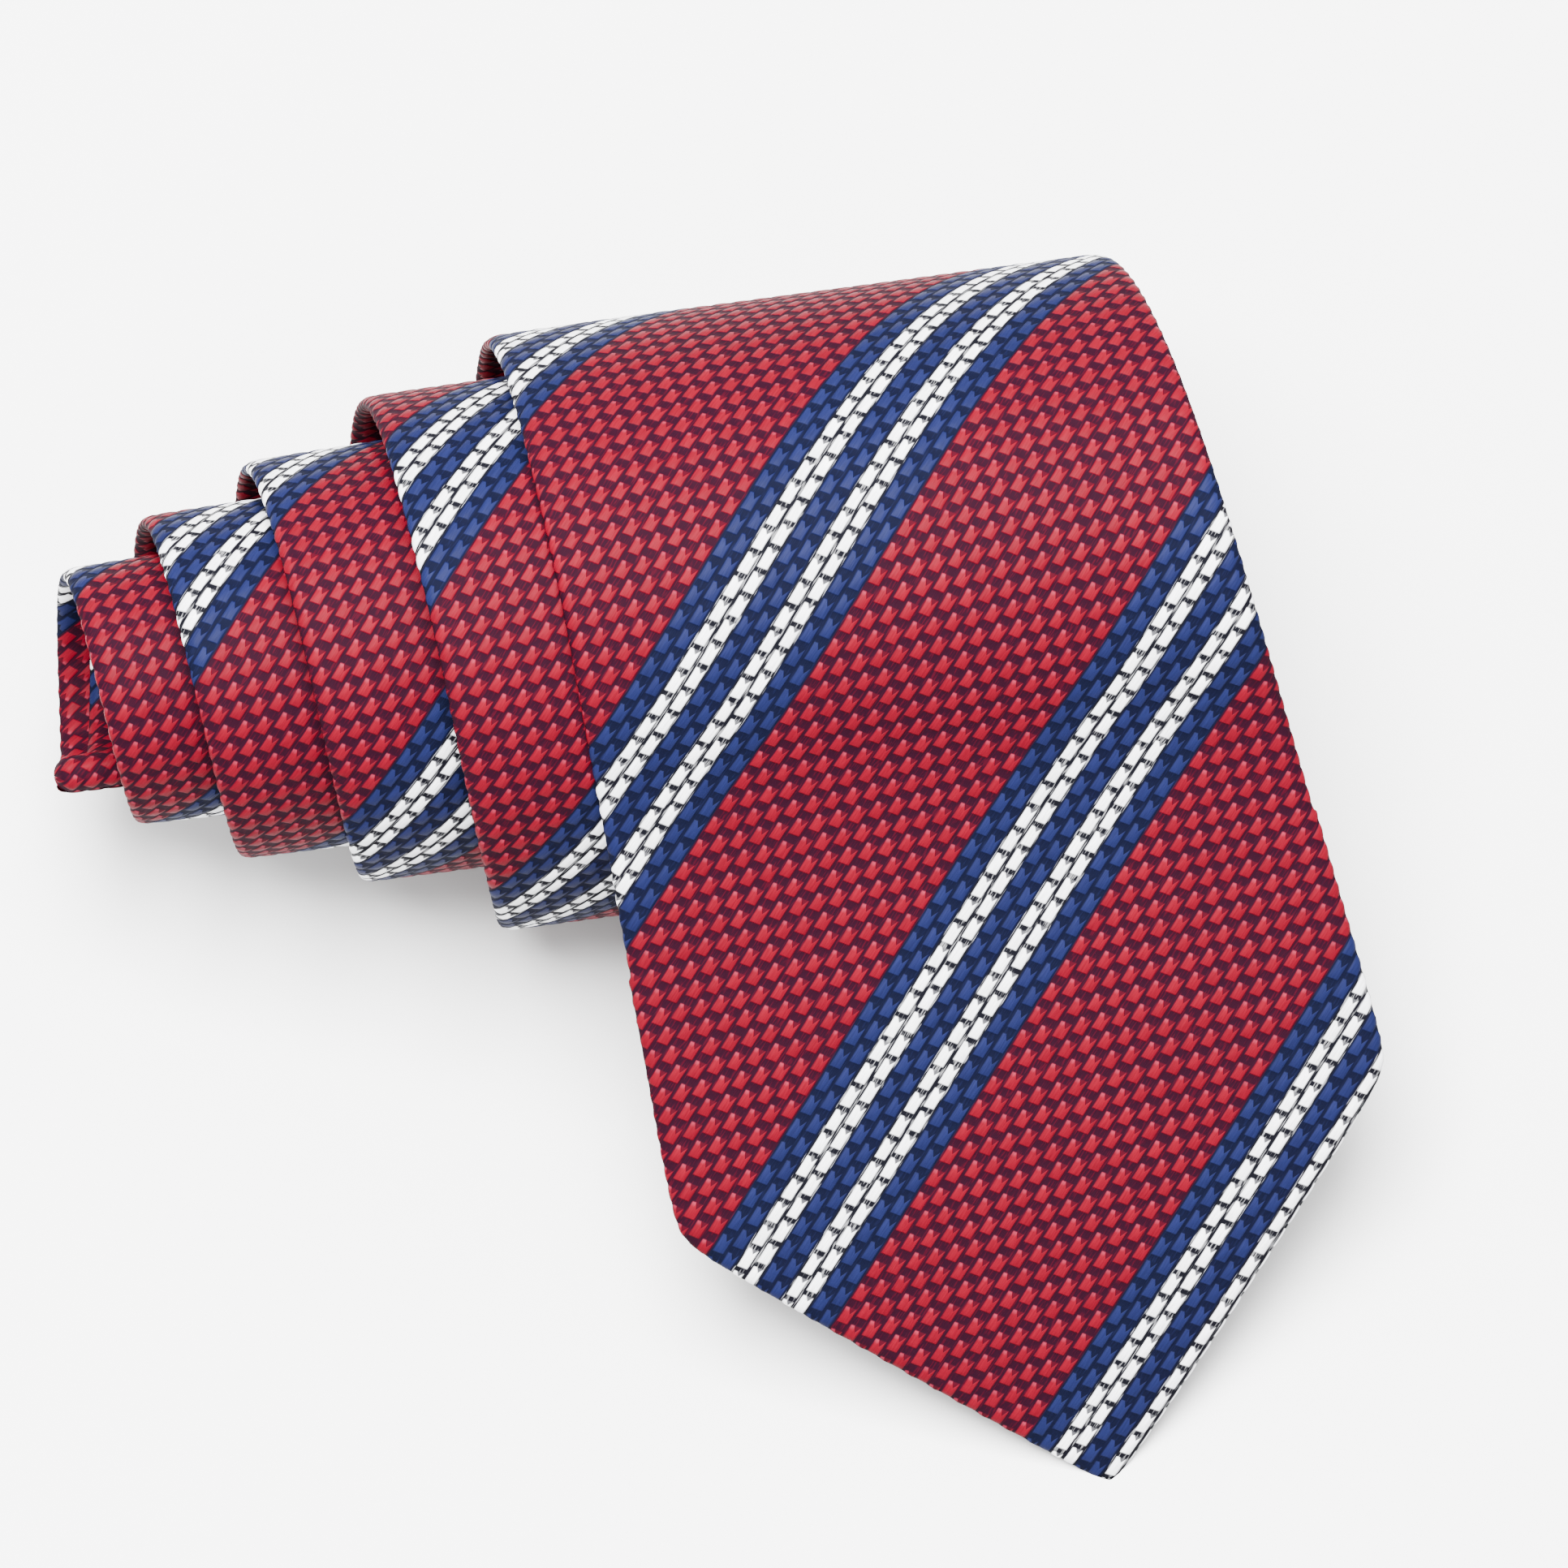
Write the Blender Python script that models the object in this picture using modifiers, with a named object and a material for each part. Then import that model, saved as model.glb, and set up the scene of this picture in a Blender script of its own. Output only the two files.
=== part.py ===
"""A gentleman's woven silk necktie, folded in half at the neck and rolled up from the fold.

The roll lies on its side on the table with its axis along X. Each turn stands a little further
along -X than the one outside it, so that the roll fans out. The blade leaves the top of the roll
and leans forward (-Y) down to the table, where its point touches.

Every ply is one strip. It is laid out in strip coordinates: S is the distance along the cross
section of the roll, which lies in the YZ plane, X is the place along the roll's axis, and depth
is the distance inwards from the outer face of the strip.
"""

import math

import bmesh
import bpy
import numpy as np

MM = 0.001

# Flat tie
BLADE_WIDTH = 80 * MM
NECK_WIDTH = 35.4 * MM
TAIL_WIDTH = 40 * MM
TAPER_LENGTH = 385 * MM
TIE_LENGTH = 1340 * MM
POINT_DEPTH = BLADE_WIDTH / 2

# Plies, in depth: cloth, pocket with the interlining, cloth
CLOTH = 0.3 * MM
POCKET = 1.0 * MM
INTERLINING = 0.5 * MM
LINING = 0.2 * MM
PLY = 2 * CLOTH + POCKET
BLADE_OUTER = 0.0  # depth of the outer side of the blade half
TAIL_OUTER = PLY + 0.7 * MM  # depth of the outer side of the tail half, which lies back to back with it

# Roll: radius of the outer face at every half turn, counted in turns from the front, over the top
HELIX_ANGLE = math.radians(6.1)
ROLL_RADII = (
    (0.0, 32.5 * MM),
    (0.44, 32.8 * MM),
    (0.94, 31.9 * MM),
    (1.44, 28.1 * MM),
    (1.94, 24.3 * MM),
    (2.44, 23.0 * MM),
    (2.94, 20.0 * MM),
    (3.44, 18.6 * MM),
    (3.94, 14.6 * MM),
    (4.44, 14.1 * MM),
    (4.94, 10.1 * MM),
)
ROLL_HEIGHT = 1.02  # height of the section against its breadth
REST_DENT = 0.45 * MM  # how far the cloth is pressed flat where the roll rests
REST_HALF = 4 * MM  # half the breadth of the flat where it rests
RAMP_TURN = 0.11
FOLD_TURN = 4.95
TIP_Y = -96.4 * MM
TIP_CUT = 3.5 * MM  # how far the blade's end stays short of the sharp point
TIP_CLEAR = 0.1 * MM
TIP_SLOPE = math.radians(45)
TIP_HANDLE = 43 * MM
RAMP_HANDLE = 20 * MM
MIDDLE_X = 16 * MM  # where the middle of the blade's widest line lies

# Cuts between the bodies
TURN_CUTS = (0.8, 1.8, 2.8, 3.8)
BEND_S = 14 * MM
BODY_GAP = 0.4 * MM
STATIONS_PER_TURN = 20
RAMP_STEP = 10 * MM
STATION_GAP = 1.2 * MM  # closest that two stations lie

# Hems and seams
HEM_GAP = 2 * MM
HEM_LEAST = 0.8 * MM  # narrowest back flap
POINT_HEM = 9 * MM
VEE_TOP_S = 70 * MM
BLADE_LINING_S = -28 * MM
TAIL_LINING_GAP = 8 * MM
INTERLINING_INSET = CLOTH + 1.2 * MM
TAIL_SHIFT = 7 * MM
TAIL_VEE = 30 * MM

# Trim on the back of the blade
LABEL_S = 136 * MM
LABEL_SIZE = (40 * MM, 20 * MM)
KEEPER_S = 192 * MM
KEEPER_SIZE = (42 * MM, 12 * MM)
CARE_S = 108 * MM
CARE_SIZE = (14 * MM, 20 * MM)
TACK_LENGTH = 6 * MM
TACK_GAP = 0.3 * MM  # from the flaps to the middle of the thread
TRIM = 0.2 * MM
TRIM_GAP = 0.25 * MM
THREAD = 0.4 * MM
THREAD_END = 10 * MM
TIPPING_GAP = 0.4 * MM

COLOURS = {
    "silk": ((0.52, 0.035, 0.06), 0.55),
    "lining": ((0.04, 0.06, 0.18), 0.5),
    "wool": ((0.78, 0.75, 0.68), 0.95),
    "label": ((0.05, 0.07, 0.17), 0.6),
    "thread": ((0.25, 0.03, 0.06), 0.7),
}


def clear_scene():
    for obj in list(bpy.data.objects):
        bpy.data.objects.remove(obj, do_unlink=True)


def make_collection(name):
    collection = bpy.data.collections.new(name)
    bpy.context.scene.collection.children.link(collection)
    return collection


def make_material(name, colour, roughness):
    material = bpy.data.materials.new(name)
    material.use_nodes = True
    shader = material.node_tree.nodes["Principled BSDF"]
    shader.inputs["Base Color"].default_value = (*colour, 1)
    shader.inputs["Roughness"].default_value = roughness
    shader.inputs["Metallic"].default_value = 0
    return material


# ---------------------------------------------------------------- cross section of the roll


AXIS_HEIGHT = ROLL_HEIGHT * float(np.interp(0.75, *zip(*ROLL_RADII))) - REST_DENT
AXIS_ORIGIN = (0, 0, AXIS_HEIGHT)


def roll_point(turn):
    """Outer face of the roll at a turn count, which starts at the front and runs over the top."""
    turns, radii = zip(*ROLL_RADII)
    radius = np.interp(turn, turns, radii)
    angle = 2 * math.pi * turn
    z = AXIS_HEIGHT + ROLL_HEIGHT * radius * np.sin(angle)
    return -radius * np.cos(angle), np.maximum(z, 0)


def bezier(points, count):
    t = np.linspace(0, 1, count)[:, None]
    a, b, c, d = (np.array(p) for p in points)
    return (1 - t) ** 3 * a + 3 * (1 - t) ** 2 * t * b + 3 * (1 - t) * t**2 * c + t**3 * d


def roll_section():
    """The section as dense points: S, Y, Z and the turn count, from the blade's point to the fold."""
    turns = np.arange(RAMP_TURN, FOLD_TURN, 0.002)
    y, z = roll_point(turns)
    start = np.array((y[0], z[0]))
    along = np.array((y[1] - y[0], z[1] - z[0]))
    along /= np.linalg.norm(along)
    tip = np.array((TIP_Y, TIP_CLEAR + PLY * math.cos(TIP_SLOPE) - TIP_CUT * math.sin(TIP_SLOPE)))
    lean = np.array((math.cos(TIP_SLOPE), math.sin(TIP_SLOPE)))
    ramp = bezier((tip, tip + lean * TIP_HANDLE, start - along * RAMP_HANDLE, start), 120)[:-1]
    y = np.concatenate((ramp[:, 0], y))
    z = np.concatenate((ramp[:, 1], z))
    turns = np.concatenate((np.linspace(-1, RAMP_TURN, len(ramp), endpoint=False), turns))
    s = np.concatenate(((0,), np.cumsum(np.hypot(np.diff(y), np.diff(z)))))
    return s - POINT_DEPTH * math.cos(HELIX_ANGLE), y, z, turns


SECTION_S, SECTION_Y, SECTION_Z, SECTION_TURN = roll_section()


def s_at_turn(turn):
    return float(np.interp(turn, SECTION_TURN, SECTION_S))


def section_point(s, depth):
    """(Y, Z) of a place on the section, moved inwards by the depth."""
    y = np.interp(s, SECTION_S, SECTION_Y)
    z = np.interp(s, SECTION_S, SECTION_Z)
    step = 1.5 * MM
    dy = np.interp(s + step, SECTION_S, SECTION_Y) - np.interp(s - step, SECTION_S, SECTION_Y)
    dz = np.interp(s + step, SECTION_S, SECTION_Z) - np.interp(s - step, SECTION_S, SECTION_Z)
    length = math.hypot(dy, dz)
    return y + depth * dz / length, z - depth * dy / length


# ---------------------------------------------------------------- outline of the flat strip


def blade_width(s):
    """Width of the blade half at a distance from its widest line, towards the neck."""
    taper = NECK_WIDTH + (BLADE_WIDTH - NECK_WIDTH) * np.exp(-np.maximum(s, 0) / TAPER_LENGTH)
    return np.where(s < 0, BLADE_WIDTH * (1 + s / POINT_DEPTH), taper)


def edge_table(width_of, reach, sign):
    """S and X of one edge of a strip whose middle runs up the roll at the helix angle."""
    s = np.linspace(*reach, 2400)
    across = sign * width_of(s) / 2
    along = s * math.cos(HELIX_ANGLE) + across * math.sin(HELIX_ANGLE)
    return along, MIDDLE_X - s * math.sin(HELIX_ANGLE) + across * math.cos(HELIX_ANGLE)


BLADE_REACH = (-POINT_DEPTH, SECTION_S[-1] / math.cos(HELIX_ANGLE) + BLADE_WIDTH)
BLADE_EDGES = [edge_table(blade_width, BLADE_REACH, sign) for sign in (-1, 1)]
FOLD_S = s_at_turn(FOLD_TURN - 0.01)
TAIL_LENGTH = TIE_LENGTH - POINT_DEPTH - FOLD_S / math.cos(HELIX_ANGLE)


def tail_end_s():
    """S where the tail's point ends, found by walking its own shorter path back from the fold."""
    dense = np.arange(FOLD_S, s_at_turn(RAMP_TURN), -1 * MM)
    points = np.array([section_point(s, TAIL_OUTER) for s in dense])
    walked = np.concatenate(((0,), np.cumsum(np.hypot(*np.diff(points, axis=0).T))))
    return float(np.interp(TAIL_LENGTH * math.cos(HELIX_ANGLE), walked, dense))


TAIL_END_S = tail_end_s()
TAIL_CORNER_S = TAIL_END_S + TAIL_WIDTH / 2


def tail_width(s):
    """Width of the tail half at a place S of the roll: it grows from the neck to its own corners."""
    share = np.clip((FOLD_S - s) / (FOLD_S - TAIL_CORNER_S), 0, 1)
    width = NECK_WIDTH + (TAIL_WIDTH - NECK_WIDTH) * share
    return np.where(s < TAIL_CORNER_S, TAIL_WIDTH * (s - TAIL_END_S) / (TAIL_CORNER_S - TAIL_END_S), width)


def blade_edges(s):
    return [float(np.interp(s, *edge)) for edge in BLADE_EDGES]


def tail_edges(s):
    middle = MIDDLE_X + TAIL_SHIFT * (FOLD_S - s) / FOLD_S - s * math.tan(HELIX_ANGLE)
    half = float(tail_width(s)) / 2
    return [middle - half, middle + half]


def vee(s, low, high, half):
    """Half the gap between the two back flaps: closed above the bar tack, open below it."""
    share = min(max((high - s) / (high - low), 0), 1)
    return HEM_GAP / 2 + share * max(half - POINT_HEM - HEM_GAP / 2, 0)


# ---------------------------------------------------------------- strips


CORNER_S = POINT_DEPTH * math.sin(HELIX_ANGLE)  # one corner of the blade lies this far up S, one down
REST_S = float(np.interp(0.75, SECTION_TURN, SECTION_S))
FIXED_S = (-CORNER_S, CORNER_S, REST_S - REST_HALF, REST_S + REST_HALF)


def all_stations():
    """Every S where a strip may bend: even on the blade's ramp, at fixed angles on the roll."""
    marks = [s_at_turn(i / STATIONS_PER_TURN) for i in range(2, int(STATIONS_PER_TURN * FOLD_TURN))]
    marks += list(np.arange(-35 * MM, s_at_turn(RAMP_TURN), RAMP_STEP))
    marks = [s for s in marks if min(abs(s - fixed) for fixed in FIXED_S) > STATION_GAP]
    return sorted(marks + list(FIXED_S))


STATIONS = all_stations()


def snap(s):
    """The nearest station, so that plies which lie on each other bend at the same places."""
    return min(STATIONS, key=lambda station: abs(station - s))


def stations(start, stop):
    return [start, *(s for s in STATIONS if start + STATION_GAP < s < stop - STATION_GAP), stop]


def add_object(name, mesh, material):
    obj = bpy.data.objects.new(name, mesh)
    obj.data.materials.append(material)
    PARTS.objects.link(obj)
    return obj


def sheet(name, rows, thickness, material, origin):
    """A sheet through rows of points, thickened evenly to both sides."""
    bm = bmesh.new()
    bmesh.ops.create_grid(bm, x_segments=len(rows[0]) - 1, y_segments=len(rows) - 1, size=1)
    bm.verts.ensure_lookup_table()
    order = sorted(bm.verts, key=lambda v: (round(v.co.y, 6), round(v.co.x, 6)))
    for vert, point in zip(order, (p for row in rows for p in row)):
        vert.co = np.array(point) - np.array(origin)
    mesh = bpy.data.meshes.new(name)
    bm.to_mesh(mesh)
    bm.free()
    obj = add_object(name, mesh, material)
    obj.location = origin
    thicken = obj.modifiers.new("thickness", "SOLIDIFY")
    thicken.thickness = thickness
    thicken.offset = 0
    thicken.use_even_offset = True
    return obj


def faces_of(outer):
    """Depths of a ply's front cloth and of its back flaps: the two plies lie back to back."""
    near = outer + CLOTH / 2
    far = outer + PLY - CLOTH / 2
    return (near, far) if outer == BLADE_OUTER else (far, near)


def folded_row(s, edges, flap_gap, outer):
    """One row across a folded shell: back flap, edge, front, edge, back flap."""
    left, right = edges
    middle = (left + right) / 2
    half = (right - left) / 2
    gap = min(flap_gap, half - HEM_LEAST)
    front, back = faces_of(outer)
    places = (
        (middle - gap, back),
        (left + CLOTH / 2, back),
        (left + CLOTH / 2, front),
        (right - CLOTH / 2, front),
        (right - CLOTH / 2, back),
        (middle + gap, back),
    )
    return [(x, *section_point(s, depth)) for x, depth in places]


def folded_shell(name, reach, edges_of, gap_of, outer, origin):
    """One ply of the tie's own cloth, folded round to the back at both edges."""
    rows = [folded_row(s, edges_of(s), gap_of(s), outer) for s in stations(*reach)]
    return sheet(name, rows, CLOTH, MATERIALS["silk"], origin)


def flat_strip(name, reach, edges_of, inset, depth, thickness, material, origin):
    """A flat strip at one depth, inset from the edges."""
    rows = []
    for s in stations(*reach):
        left, right = edges_of(s)
        y, z = section_point(s, depth)
        rows.append([(left + inset, y, z), ((left + right) / 2, y, z), (right - inset, y, z)])
    return sheet(name, rows, thickness, material, origin)


def patch(name, s, x, size, depth, material):
    """A small patch of trim that follows the section, with its middle at S and X."""
    rows = []
    for along in stations(snap(s - size[1] / 2), snap(s + size[1] / 2)):
        y, z = section_point(along, depth)
        rows.append([(x - size[0] / 2, y, z), (x + size[0] / 2, y, z)])
    return sheet(name, rows, TRIM, material, AXIS_ORIGIN)


def thread(name, places, depth, origin):
    """A sewing thread through (S, X) places on the back of a ply."""
    curve = bpy.data.curves.new(name, "CURVE")
    curve.dimensions = "3D"
    curve.bevel_depth = THREAD / 2
    curve.bevel_resolution = 0
    curve.use_fill_caps = True
    spline = curve.splines.new("POLY")
    spline.points.add(len(places) - 1)
    for point, (s, x) in zip(spline.points, places):
        y, z = section_point(s, depth)
        point.co = (x - origin[0], y - origin[1], z - origin[2], 1)
    obj = add_object(name, curve, MATERIALS["thread"])
    obj.location = origin
    return obj


def neck_fold(name):
    """The hairpin where the tie is folded in half: a half ring between the two plies."""
    left, right = blade_edges(FOLD_S)
    (y0, z0), (y1, z1) = section_point(FOLD_S, PLY / 2), section_point(FOLD_S, TAIL_OUTER + PLY / 2)
    inward = np.array((y1 - y0, z1 - z0))
    radius = np.linalg.norm(inward) / 2
    inward /= 2 * radius
    onward = np.array((inward[1], -inward[0]))
    onward *= math.copysign(1, onward @ (np.array(section_point(FOLD_S, 0)) - section_point(FOLD_S - MM, 0)))
    middle = np.array((y0 + y1, z0 + z1)) / 2 + onward * BODY_GAP
    rows = []
    for angle in np.linspace(0, math.pi, 7):
        y, z = middle + radius * (onward * math.sin(angle) - inward * math.cos(angle))
        rows.append([(left, y, z), (right, y, z)])
    return sheet(name, rows, PLY, MATERIALS["silk"], AXIS_ORIGIN)


# ---------------------------------------------------------------- the tie

clear_scene()
PARTS = make_collection("Necktie")
MATERIALS = {name: make_material(name, *look) for name, look in COLOURS.items()}

RAMP_S = s_at_turn(RAMP_TURN + 0.004)
CUTS = [s_at_turn(turn) for turn in TURN_CUTS]
BEND_ORIGIN = (MIDDLE_X, *section_point(BEND_S, 0))
RAMP_ORIGIN = (MIDDLE_X, *section_point(RAMP_S, 0))
BLADE_BACK = PLY + TRIM_GAP + TRIM / 2
TAIL_VEE_TOP = TAIL_CORNER_S + TAIL_VEE
BLADE_SEAM_S = snap(VEE_TOP_S)
TAIL_SEAM_S = snap(TAIL_VEE_TOP)
TAIL_LINING_S = snap(TAIL_END_S + TAIL_LINING_GAP)


def middle_of(edges):
    return sum(edges) / 2


def blade_gap(s):
    left, right = blade_edges(s)
    return vee(s, 0, VEE_TOP_S, (right - left) / 2)


def tail_gap(s):
    left, right = tail_edges(s)
    return vee(s, TAIL_CORNER_S, TAIL_VEE_TOP, (right - left) / 2)


def opening(edges, gap):
    """X of the two sides of the gap between a ply's back flaps."""
    left, right = edges
    middle = (left + right) / 2
    half = min(gap, (right - left) / 2 - HEM_LEAST)
    return [middle - half, middle + half]


def blade_opening(s):
    return opening(blade_edges(s), blade_gap(s))


def tail_opening(s):
    return opening(tail_edges(s), tail_gap(s))


# Body, panel on the blade half, panel on the tail half, where it starts and stops, its joint's axis
BODIES = (
    ("tip", "blade", None, TIP_CUT - POINT_DEPTH * math.cos(HELIX_ANGLE), BEND_S, BEND_ORIGIN),
    ("ramp", "blade", None, BEND_S, RAMP_S, RAMP_ORIGIN),
    ("turn_1", "blade", "tail", RAMP_S, CUTS[0], AXIS_ORIGIN),
    ("turn_2", "blade", "tail", CUTS[0], CUTS[1], AXIS_ORIGIN),
    ("turn_3", "blade", "tail", CUTS[1], CUTS[2], AXIS_ORIGIN),
    ("turn_4", "neck", "return", CUTS[2], CUTS[3], AXIS_ORIGIN),
    ("core", "neck", "return", CUTS[3], FOLD_S, AXIS_ORIGIN),
)


def make_ply(panel, place, reach, edges_of, gap_of, outer, origin, lining_from):
    """The folded cloth of one ply and the interlining inside it."""
    folded_shell(f"{panel}_shell_{place}", reach, edges_of, gap_of, outer, origin)
    inner = (max(reach[0], lining_from), reach[1])
    name = f"{panel}_interlining_{place}"
    inset = INTERLINING_INSET
    flat_strip(name, inner, edges_of, inset, outer + PLY / 2, INTERLINING, MATERIALS["wool"], origin)


def make_tipping(name, reach, opening_of, outer, origin):
    """The lining that shows between the back flaps."""
    depth = faces_of(outer)[1]
    flat_strip(name, reach, opening_of, TIPPING_GAP, depth, LINING, MATERIALS["lining"], origin)


def make_stitch(name, reach, edges_of, outer, origin):
    """The slip stitch, which lies between the two flaps along the middle of the back."""
    places = [(s, middle_of(edges_of(s))) for s in stations(*reach)]
    thread(name, places, faces_of(outer)[1], origin)


for place, panel, tail_panel, start, stop, origin in BODIES:
    reach = (start + BODY_GAP / 2, stop - BODY_GAP / 2)
    make_ply(panel, place, reach, blade_edges, blade_gap, BLADE_OUTER, origin, BLADE_LINING_S)
    if start < VEE_TOP_S:
        below = (max(reach[0], BLADE_LINING_S), min(reach[1], BLADE_SEAM_S))
        make_tipping(f"blade_tipping_{place}", below, blade_opening, BLADE_OUTER, origin)
    if stop > VEE_TOP_S:
        above = (max(reach[0], snap(VEE_TOP_S + THREAD_END)), reach[1])
        make_stitch(f"{panel}_stitch_{place}", above, blade_edges, BLADE_OUTER, origin)
    if tail_panel:
        reach = (max(reach[0], TAIL_END_S + TIP_CUT), reach[1])
        make_ply(tail_panel, place, reach, tail_edges, tail_gap, TAIL_OUTER, origin, TAIL_LINING_S)
        above = (max(reach[0], snap(TAIL_VEE_TOP + THREAD_END)), reach[1])
        make_stitch(f"{tail_panel}_stitch_{place}", above, tail_edges, TAIL_OUTER, origin)

make_tipping("tail_tipping", (TAIL_LINING_S, TAIL_SEAM_S), tail_opening, TAIL_OUTER, AXIS_ORIGIN)
neck_fold("neck_fold")

for name, s, size, material in (
    ("maker_label", LABEL_S, LABEL_SIZE, "label"),
    ("care_label", CARE_S, CARE_SIZE, "label"),
    ("keeper_loop", KEEPER_S, KEEPER_SIZE, "silk"),
):
    patch(name, s, middle_of(blade_edges(s)), size, BLADE_BACK, MATERIALS[material])

for name, s, edges_of, depth in (
    ("blade_bar_tack", BLADE_SEAM_S, blade_edges, PLY + TACK_GAP),
    ("tail_bar_tack", TAIL_SEAM_S, tail_edges, TAIL_OUTER - TACK_GAP),
):
    x = middle_of(edges_of(s))
    places = [(s, x - TACK_LENGTH / 2), (s, x + TACK_LENGTH / 2)]
    thread(name, places, depth, AXIS_ORIGIN)
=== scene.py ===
"""Looks of the rolled necktie: woven silk with bias stripes, laid exactly along the roll's section.

A strip of cloth bends in one direction only here, so its shape is known without simulation. Every
ply is laid out flat as (s, q), s along the tie from the blade's widest line and q across the cloth,
round the rolled edge and on into the back flap. The same (s, q) drives the weave's colour, its
bump and the height of each float of silk in the mesh.
"""

import math

import bpy
import numpy as np
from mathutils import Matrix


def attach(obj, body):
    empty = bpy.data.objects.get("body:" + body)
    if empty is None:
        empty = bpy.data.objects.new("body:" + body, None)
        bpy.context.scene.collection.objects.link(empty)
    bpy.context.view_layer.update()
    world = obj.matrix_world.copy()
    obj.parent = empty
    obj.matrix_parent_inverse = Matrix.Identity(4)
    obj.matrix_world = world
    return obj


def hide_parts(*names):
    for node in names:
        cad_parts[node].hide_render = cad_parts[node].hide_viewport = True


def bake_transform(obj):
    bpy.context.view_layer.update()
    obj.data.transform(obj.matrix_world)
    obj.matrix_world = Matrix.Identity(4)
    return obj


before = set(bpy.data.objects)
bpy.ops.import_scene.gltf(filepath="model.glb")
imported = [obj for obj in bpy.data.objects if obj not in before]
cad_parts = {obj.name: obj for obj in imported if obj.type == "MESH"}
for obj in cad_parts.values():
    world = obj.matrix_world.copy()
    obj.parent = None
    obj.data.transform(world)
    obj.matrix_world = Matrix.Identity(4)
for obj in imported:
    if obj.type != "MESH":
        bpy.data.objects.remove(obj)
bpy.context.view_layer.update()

MM = 0.001

# The flat tie and its section, as in the CAD source
BLADE_WIDTH = 80 * MM
NECK_WIDTH = 35.4 * MM
TAIL_WIDTH = 40 * MM
TAPER_LENGTH = 385 * MM
TIE_LENGTH = 1340 * MM
POINT_DEPTH = BLADE_WIDTH / 2
PLY = 1.6 * MM
TAIL_OUTER = 2.3 * MM
HELIX = math.radians(6.1)
ROLL_RADII = (
    (0.0, 32.5 * MM),
    (0.44, 32.8 * MM),
    (0.94, 31.9 * MM),
    (1.44, 28.1 * MM),
    (1.94, 24.3 * MM),
    (2.44, 23.0 * MM),
    (2.94, 20.0 * MM),
    (3.44, 18.6 * MM),
    (3.94, 14.6 * MM),
    (4.44, 14.1 * MM),
    (4.94, 10.1 * MM),
)
ROLL_HEIGHT = 1.02
REST_DENT = 0.45 * MM
RAMP_TURN = 0.11
FOLD_TURN = 4.95
TIP_Y = -96.4 * MM
TIP_CUT = 3.5 * MM
TIP_CLEAR = 0.1 * MM
TIP_SLOPE = math.radians(45)
TIP_HANDLE = 43 * MM
RAMP_HANDLE = 20 * MM
MIDDLE_X = 16 * MM
BEND_S = 14 * MM
VEE_TOP_S = 70 * MM
POINT_HEM = 9 * MM
TAIL_SHIFT = 7 * MM
TAIL_VEE = 30 * MM

# Soft shape of a ply
EDGE = 1.7 * MM  # breadth of the rolled edge
CROWN = 0.2 * MM  # rise of a ply's middle over its sides
FLAP_RISE = 0.15 * MM
CURL = 0.14 * MM  # radius of a flap's turned-in end
FULL_HALF = 20 * MM  # half width from which a ply is as uneven as it gets
FULL_THICK_HALF = 3 * MM  # half width from which it is as thick
SEAM_GAP = 0.15 * MM
POINT_ROUND = 1.1 * MM
POINT_START = POINT_ROUND + 0.05 * MM
CORNER_ROUND = 2.2 * MM
CORNER_SPARE = 0.3 * MM  # what rounding a corner takes off its width
LEAST_HALF = 0.3 * MM
SHARP_HALF = 0.2 * MM  # half width at the sharp end itself
OUTLINE_REACH = 30 * MM  # beyond this from the widest line the outline is only the taper
WAVER = 0.17 * MM
SQUARING = 60 * MM  # length over which the blade's rows turn square to the fold
FLOOR_CLEAR = 0.03 * MM

# Weave: rows of floats on the bias, 26 rows to a repeat
REPEAT_ROWS = 26
RED_FROM = 5  # rows from the middle of the bars to the red
WHITE_FROM = 1
WHITE_TO = 3
ROW = 58.93 * MM / math.sqrt(2) / REPEAT_ROWS
FLOAT = 3.03 * MM
STRIPE_PLACE = 24.18 * MM / math.sqrt(2)  # middle of a blue bar, across the rows
RELIEF = 0.13 * MM
RED_FILL = 0.68  # share of a row's length that the raised floats cover
WHITE_FILL = 0.88
BLUE_FILL = 0.76
DYE_FILL = 0.76  # the same for their colour, with what red and white add
DYE_FILL_RED = -0.08
DYE_FILL_WHITE = 0.05
NOTCH_PLACE = 0.38  # the notch in a float's end, in shares of a row and of a float
NOTCH_HALF = 0.24
NOTCH_DEPTH = 0.24
NOTCH_SHARE = 0.8
FLOAT_SLANT = 0.09
FLOAT_ENDS = (-0.02, 0.05)  # where a float's colour fades in
ROW_MARGIN = 0.12
ROW_MARGIN_WHITE = 0.03
UV_SCALE = 10.0  # UV units to a metre
RAMP_COUNT = 400
TURN_STEP = 0.001
EASE_TURNS = 0.09  # turns over which the radius is averaged, each way
TAIL_WALK_END = 0.2


# ---------------------------------------------------------------- section of the roll


def smooth(x):
    x = np.clip(x, 0, 1)
    return x * x * (3 - 2 * x)


def radius_at(turn):
    """The roll's radius, with the corners between its half turns eased."""
    turns, radii = zip(*ROLL_RADII)
    around = np.linspace(-EASE_TURNS, EASE_TURNS, 13)
    return np.mean([np.interp(turn + a, turns, radii) for a in around], axis=0)


AXIS_HEIGHT = ROLL_HEIGHT * float(np.interp(0.75, *zip(*ROLL_RADII))) - REST_DENT


def roll_point(turn):
    radius = radius_at(turn)
    angle = 2 * math.pi * turn
    return -radius * np.cos(angle), AXIS_HEIGHT + ROLL_HEIGHT * radius * np.sin(angle)


def bezier(points, count):
    t = np.linspace(0, 1, count)[:, None]
    a, b, c, d = (np.array(p) for p in points)
    return (1 - t) ** 3 * a + 3 * (1 - t) ** 2 * t * b + 3 * (1 - t) * t**2 * c + t**3 * d


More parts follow.
